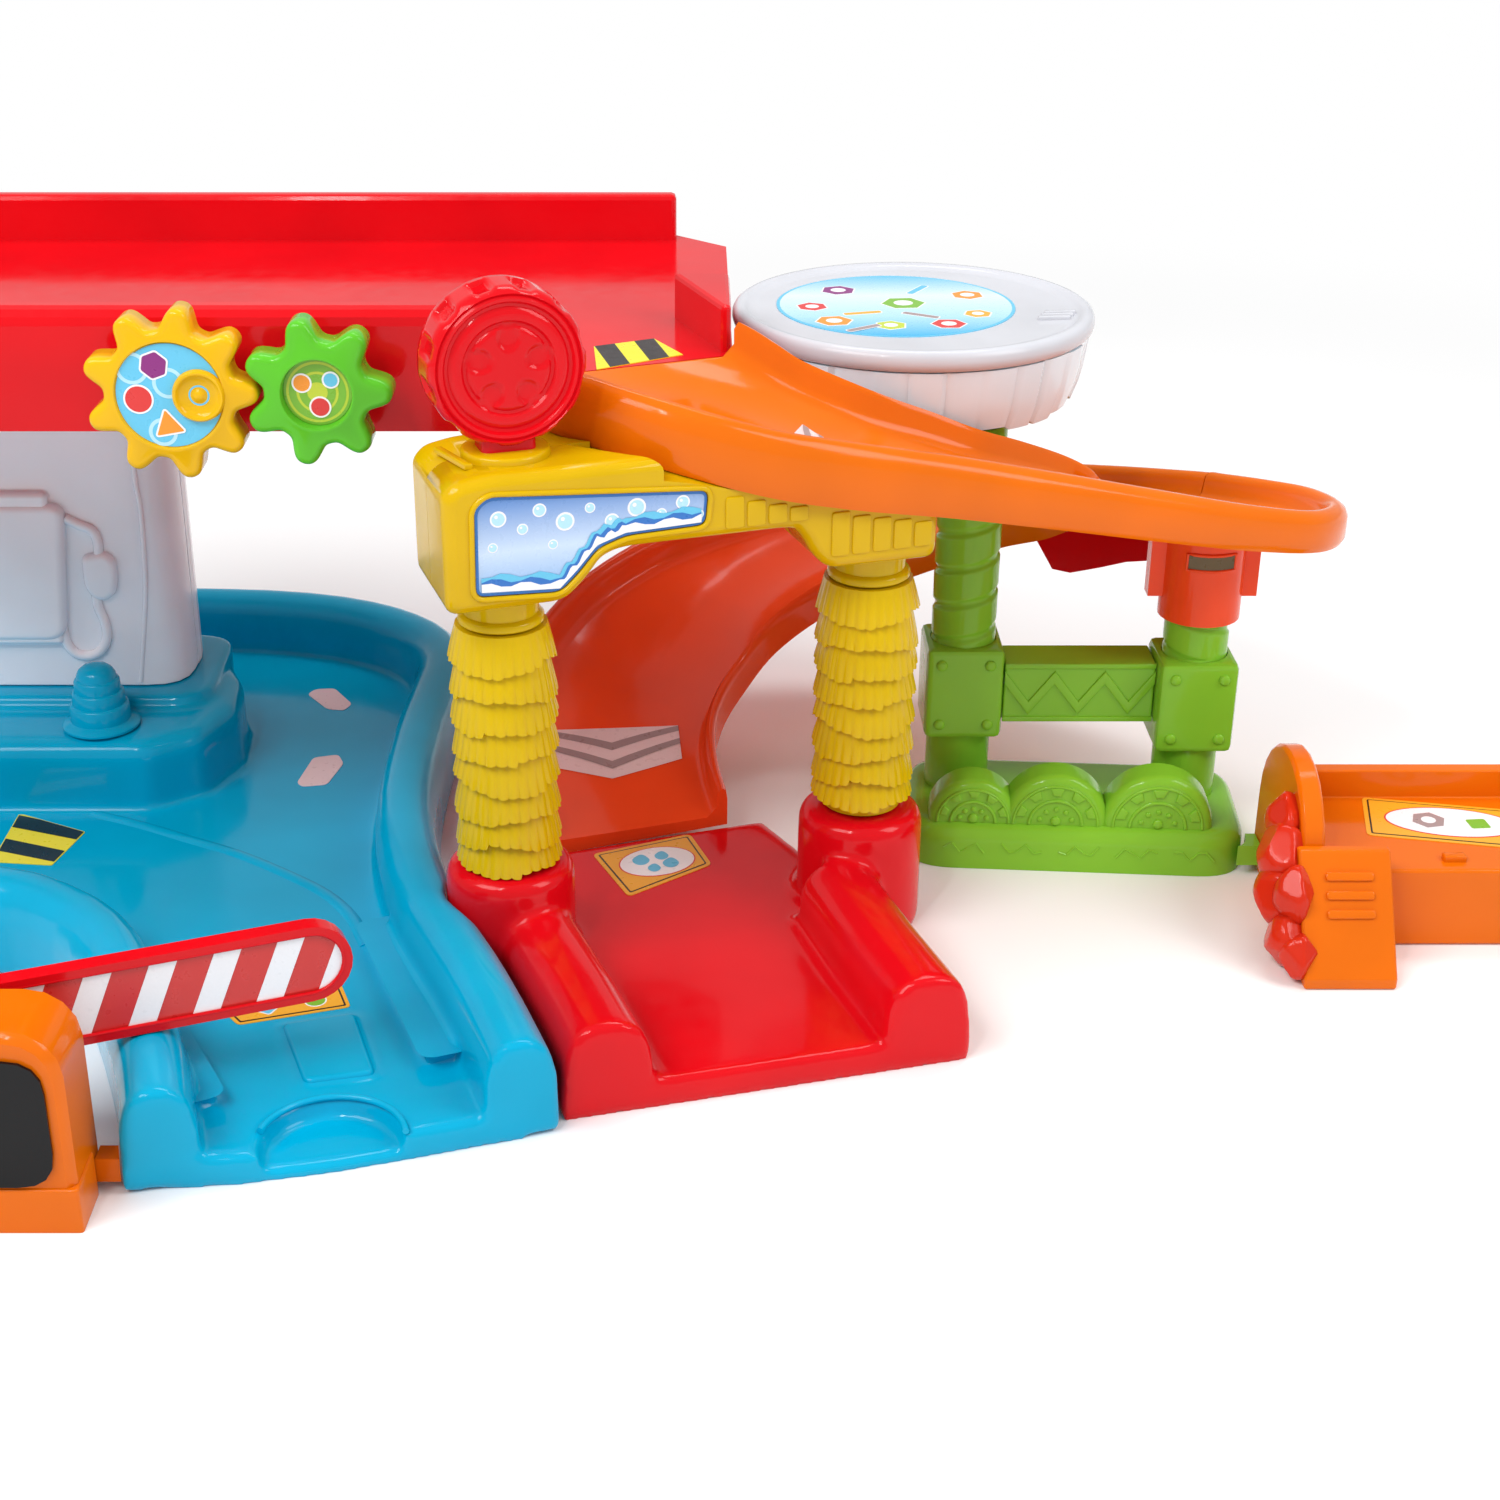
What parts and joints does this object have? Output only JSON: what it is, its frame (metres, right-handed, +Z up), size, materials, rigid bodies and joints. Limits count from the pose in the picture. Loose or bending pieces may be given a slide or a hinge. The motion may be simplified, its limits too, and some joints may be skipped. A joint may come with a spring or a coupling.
{
  "type": "toy parking garage",
  "caption": "Toy parking garage with an upper deck, spiral ramp, car wash arch with turning brushes, meshing gears, barrier, workshop stand, side bay and lift.",
  "frame": {"origin": "on the ground, under the middle of the car wash arch, on the underside of the wash base", "axes": "+X to the right along the garage's length, +Y from the front to the back, +Z up"},
  "size_m": [0.7679, 0.4279, 0.264],
  "materials": {
    "blue_plastic": "glossy injection-moulded blue",
    "red_plastic": "glossy injection-moulded red",
    "orange_plastic": "glossy injection-moulded orange",
    "deep_orange_plastic": "glossy injection-moulded red-orange",
    "yellow_plastic": "glossy injection-moulded yellow",
    "green_plastic": "glossy injection-moulded green",
    "white_plastic": "glossy injection-moulded white",
    "black_window": "glossy black window pane",
    "printed_label": null
  },
  "bodies": {
    "garage": {"arch_front_shell": "yellow_plastic", "arch_rear_shell": "yellow_plastic", "barrier_post": "orange_plastic", "bay_base": "orange_plastic", "bay_flap": "orange_plastic", "bay_side_wall": "orange_plastic", "blue_base": "blue_plastic", "booth_link": "orange_plastic", "booth_shell": "orange_plastic", "booth_window": "black_window", "green_gear_axle": "red_plastic", "left_brush_spindle": "yellow_plastic", "left_clamp": "green_plastic", "left_post": "green_plastic", "lift_column_front": "red_plastic", "lift_column_rear": "red_plastic", "lift_head": "red_plastic", "link_clip": "green_plastic", "lower_ramp": "deep_orange_plastic", "pillar_front_shell": "white_plastic", "pillar_rear_shell": "white_plastic", "platform_body": "white_plastic", "platform_label": "printed_label", "platform_lid": "white_plastic", "ramp_socket": "deep_orange_plastic", "right_brush_spindle": "yellow_plastic", "right_clamp": "green_plastic", "right_post": "green_plastic", "stand_base": "green_plastic", "stand_beam": "green_plastic", "traffic_cone": "blue_plastic", "upper_deck": "red_plastic", "upper_ramp": "orange_plastic", "wash_base": "red_plastic", "wash_sign": "printed_label", "wheel_medallion": "red_plastic", "yellow_gear_axle": "red_plastic"},
    "yellow_gear": {"yellow_gear": "yellow_plastic", "yellow_gear_label": "printed_label"},
    "green_gear": {"green_gear": "green_plastic", "green_gear_label": "printed_label"},
    "barrier": {"barrier_arm": "red_plastic", "barrier_panel": "white_plastic"},
    "left_brush": {"left_brush": "yellow_plastic"},
    "right_brush": {"right_brush": "yellow_plastic"},
    "lift_car": {"lift_car": "blue_plastic"},
    "lift_crank": {"lift_crank": "yellow_plastic"}
  },
  "joints": [
    {"name": "yellow_gear_spin", "type": "hinge", "parent": "garage", "child": "yellow_gear", "pos_m": [-0.1642, 0.014, 0.1987], "axis": [0, -1, 0], "continuous": true},
    {"name": "green_gear_spin", "type": "hinge", "parent": "garage", "child": "green_gear", "pos_m": [-0.1178, 0.014, 0.199], "axis": [0, -1, 0], "continuous": true},
    {"name": "barrier_lift", "type": "hinge", "parent": "garage", "child": "barrier", "pos_m": [-0.2074, -0.1256, 0.048], "axis": [0.3584, -0.9336, 0], "range_deg": [0, 80]},
    {"name": "left_brush_spin", "type": "hinge", "parent": "garage", "child": "left_brush", "pos_m": [-0.06056, -0.01668, 0.0453], "axis": [0, 0, 1], "continuous": true},
    {"name": "right_brush_spin", "type": "hinge", "parent": "garage", "child": "right_brush", "pos_m": [0.06006, 0.02368, 0.0453], "axis": [0, 0, 1], "continuous": true},
    {"name": "lift_slide", "type": "slide", "parent": "garage", "child": "lift_car", "axis": [0, 0, 1], "range_m": [0, 0.179]},
    {"name": "lift_crank_turn", "type": "hinge", "parent": "garage", "child": "lift_crank", "pos_m": [-0.406, 0.0647, 0.25], "axis": [0, -1, 0], "range_deg": [0, 1081]}
  ],
  "couplings": [
    {"joint": "green_gear_spin", "follows": "yellow_gear_spin", "ratio": -1.2857},
    {"joint": "lift_crank_turn", "follows": "lift_slide", "rad_per_m": 105.3}
  ]
}
